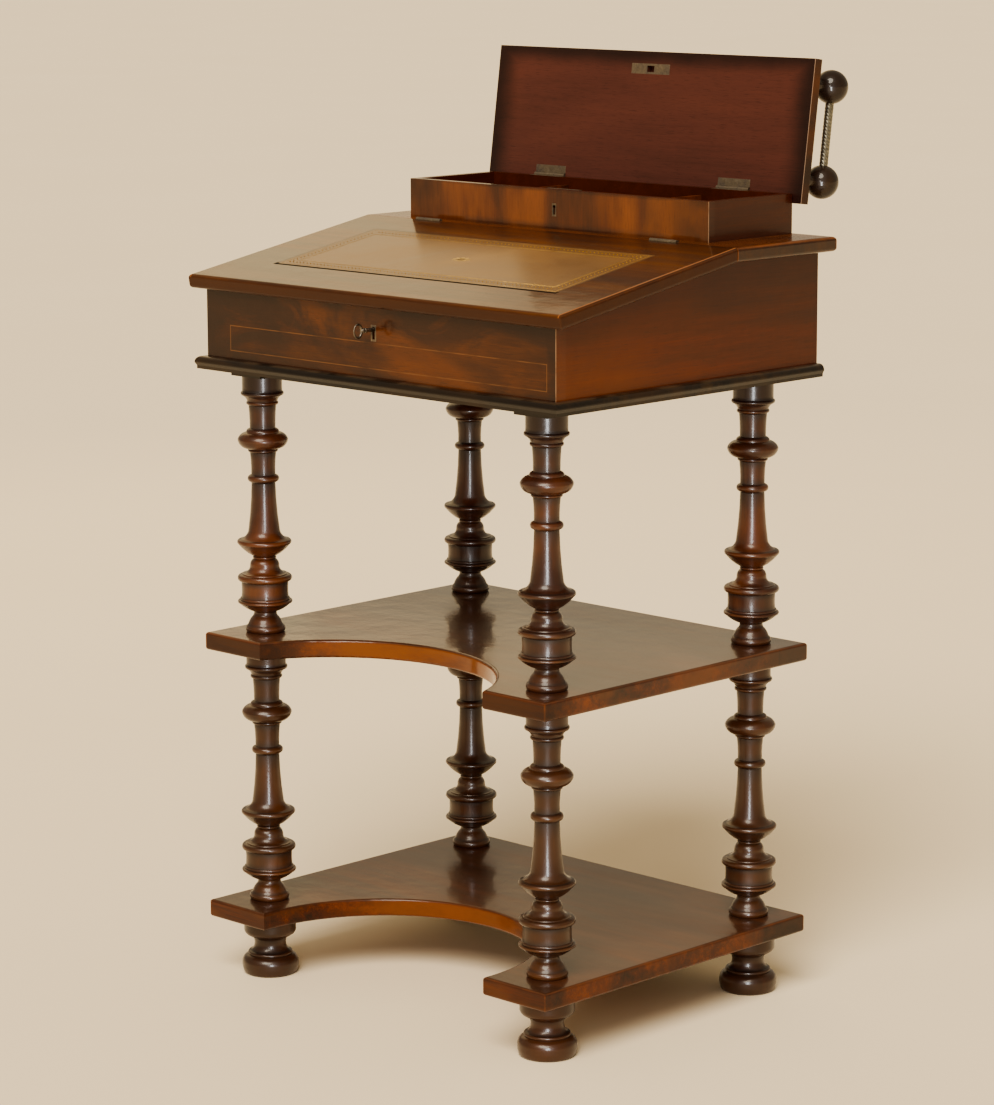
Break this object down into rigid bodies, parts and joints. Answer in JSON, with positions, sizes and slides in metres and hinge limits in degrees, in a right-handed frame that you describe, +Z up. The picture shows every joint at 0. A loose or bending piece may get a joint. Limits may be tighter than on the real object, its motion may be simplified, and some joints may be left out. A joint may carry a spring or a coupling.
{
  "type": "davenport writing desk",
  "caption": "Davenport writing desk: sloped leather-topped box on turned columns and shelves, with a lidded stationery box and rod gallery.",
  "frame": {"origin": "on the floor, under the middle of the whole desk as it stands with its stationery lid open", "axes": "+Z up, -Y the side that the sitter faces, +X to the right as the sitter sees it"},
  "size_m": [0.532, 0.4996, 0.9707],
  "materials": {
    "turned_walnut": "french-polished turned walnut, red-brown with amber streaks",
    "shelf_walnut": "polished walnut, worn lighter on the top face",
    "ebonised": "ebonised and polished",
    "figured_walnut": "french-polished figured walnut veneer",
    "case_walnut": "polished plain walnut",
    "inner_wood": "waxed plain wood",
    "top_walnut": "dark french-polished walnut with light worn arrises",
    "lid_mahogany": "polished reddish wood with darker borders",
    "leather": "tan hide, gold tooled and rubbed",
    "old_brass": "dull old brass",
    "lock_steel": "worn grey steel"
  },
  "bodies": {
    "stand": {"foot_front_left": "turned_walnut", "foot_front_right": "turned_walnut", "foot_rear_left": "turned_walnut", "foot_rear_right": "turned_walnut", "lower_column_front_left": "turned_walnut", "lower_column_front_right": "turned_walnut", "lower_column_rear_left": "turned_walnut", "lower_column_rear_right": "turned_walnut", "upper_column_front_left": "turned_walnut", "upper_column_front_right": "turned_walnut", "upper_column_rear_left": "turned_walnut", "upper_column_rear_right": "turned_walnut", "middle_shelf": "shelf_walnut", "bottom_shelf": "shelf_walnut", "column_pad_front_left": "ebonised", "column_pad_front_right": "ebonised", "column_pad_rear_left": "ebonised", "column_pad_rear_right": "ebonised", "base_moulding_front": "ebonised", "base_moulding_left": "ebonised", "base_moulding_right": "ebonised", "carcase_front": "figured_walnut", "stationery_front": "figured_walnut", "carcase_left": "case_walnut", "carcase_right": "case_walnut", "carcase_back": "case_walnut", "stationery_left": "case_walnut", "stationery_right": "case_walnut", "stationery_back": "case_walnut", "carcase_base": "inner_wood", "stationery_floor": "inner_wood", "stationery_divider_left": "inner_wood", "stationery_divider_right": "inner_wood", "pen_tray": "inner_wood", "top_board": "top_walnut", "slope_hinge_fixed_leaves": "old_brass", "slope_hinge_pins": "old_brass", "lid_hinge_fixed_leaves": "old_brass", "lid_hinge_pins": "old_brass", "desk_escutcheon": "old_brass", "stationery_escutcheon": "old_brass", "desk_lock_case": "old_brass", "stationery_lock_case": "old_brass"},
    "slope": {"slope_board": "top_walnut", "leather_writing_surface": "leather", "slope_lock_strike": "old_brass", "slope_hinge_moving_leaves": "old_brass"},
    "lid": {"lid_board": "lid_mahogany", "lid_lock_strike": "old_brass", "lid_hinge_moving_leaves": "old_brass", "gallery_ball_front_left": "ebonised", "gallery_ball_front_right": "ebonised", "gallery_ball_rear_left": "ebonised", "gallery_ball_rear_right": "ebonised", "gallery_rail_left": "old_brass", "gallery_rail_right": "old_brass", "gallery_rail_rear": "old_brass"},
    "key": {"desk_key": "lock_steel"},
    "desk_bolt": {"desk_lock_bolt": "lock_steel"},
    "stationery_bolt": {"stationery_lock_bolt": "lock_steel"}
  },
  "joints": [
    {"name": "slope_hinge", "type": "hinge", "parent": "stand", "child": "slope", "pos_m": [0, 0.02165, 0.7933], "axis": [-1, 0, 0], "range_deg": [0, 110]},
    {"name": "lid_hinge", "type": "hinge", "parent": "stand", "child": "lid", "pos_m": [0, 0.17015, 0.8346], "axis": [1, 0, 0], "range_deg": [0, 98]},
    {"name": "key_turn", "type": "hinge", "parent": "stand", "child": "key", "pos_m": [0, -0.22185, 0.712], "axis": [0, 1, 0], "range_deg": [0, 180]},
    {"name": "desk_bolt_slide", "type": "slide", "parent": "stand", "child": "desk_bolt", "axis": [0, 0, 1], "range_m": [0, 0.005]},
    {"name": "stationery_bolt_slide", "type": "slide", "parent": "stand", "child": "stationery_bolt", "axis": [0, 0, 1], "range_m": [0, 0.004]}
  ],
  "couplings": [
    {"joint": "key_turn", "follows": "desk_bolt_slide", "rad_per_m": 628.32}
  ]
}
